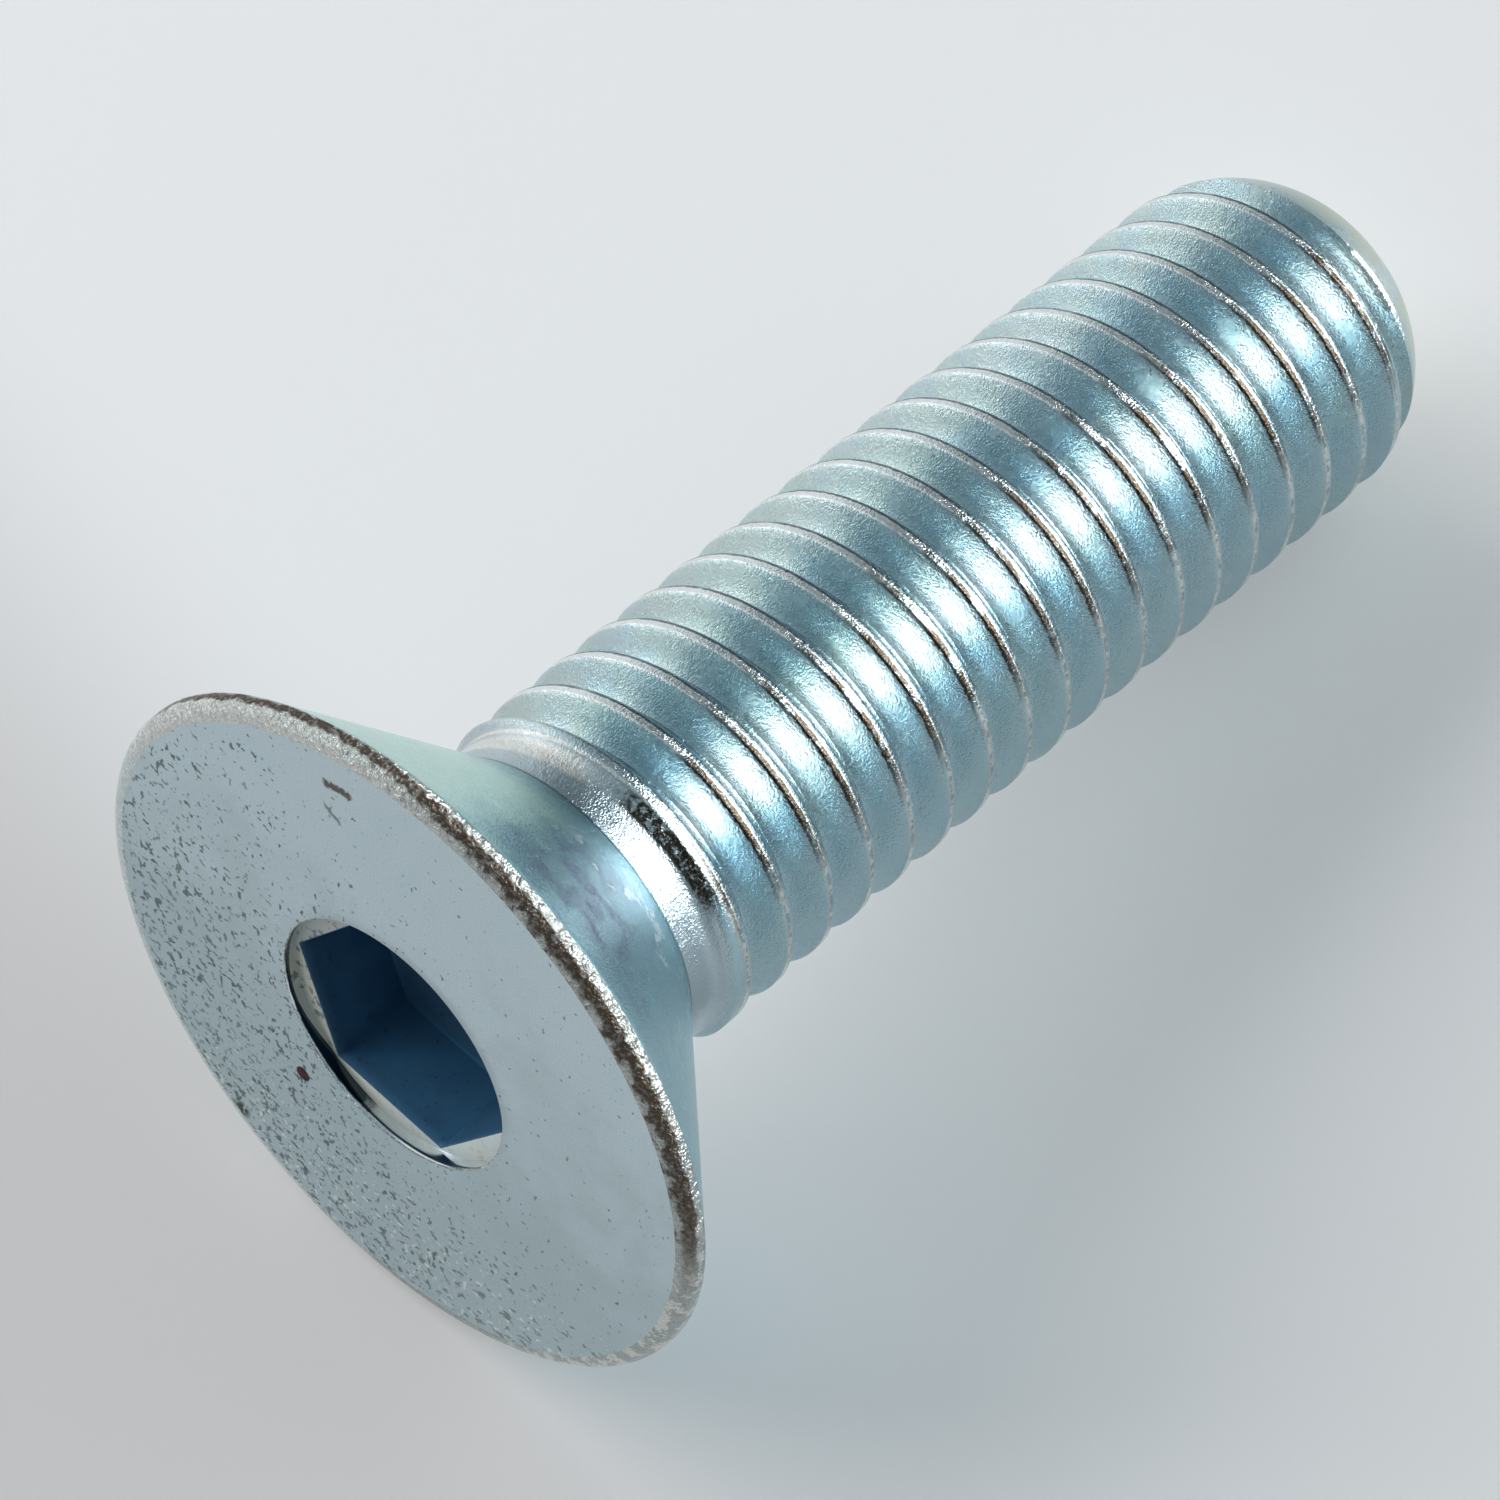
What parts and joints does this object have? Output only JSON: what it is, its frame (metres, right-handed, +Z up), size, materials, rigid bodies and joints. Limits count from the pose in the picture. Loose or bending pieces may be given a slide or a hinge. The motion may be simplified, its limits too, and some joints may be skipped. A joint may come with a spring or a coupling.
{
  "type": "countersunk socket screw",
  "caption": "Countersunk screw with a flat head, a shallow round recess over a hexagon socket, a plain collar and a full-length right-hand rolled thread.",
  "frame": {"origin": "middle of the box that the screw fills, at the level of the surface that it lies on", "axes": "+X from the head to the point, level; +Z up. The screw lies on the rim of its head and on a crest near the end of its thread, so its own axis dips by about 8.5 degrees from the head to the point."},
  "size_m": [0.0308, 0.016, 0.0158],
  "materials": {
    "zinc_plated_steel": "blue-passivated zinc over cold-formed steel, satin to bright"
  },
  "bodies": {
    "root": {"countersunk_screw": "zinc_plated_steel"}
  },
  "joints": []
}
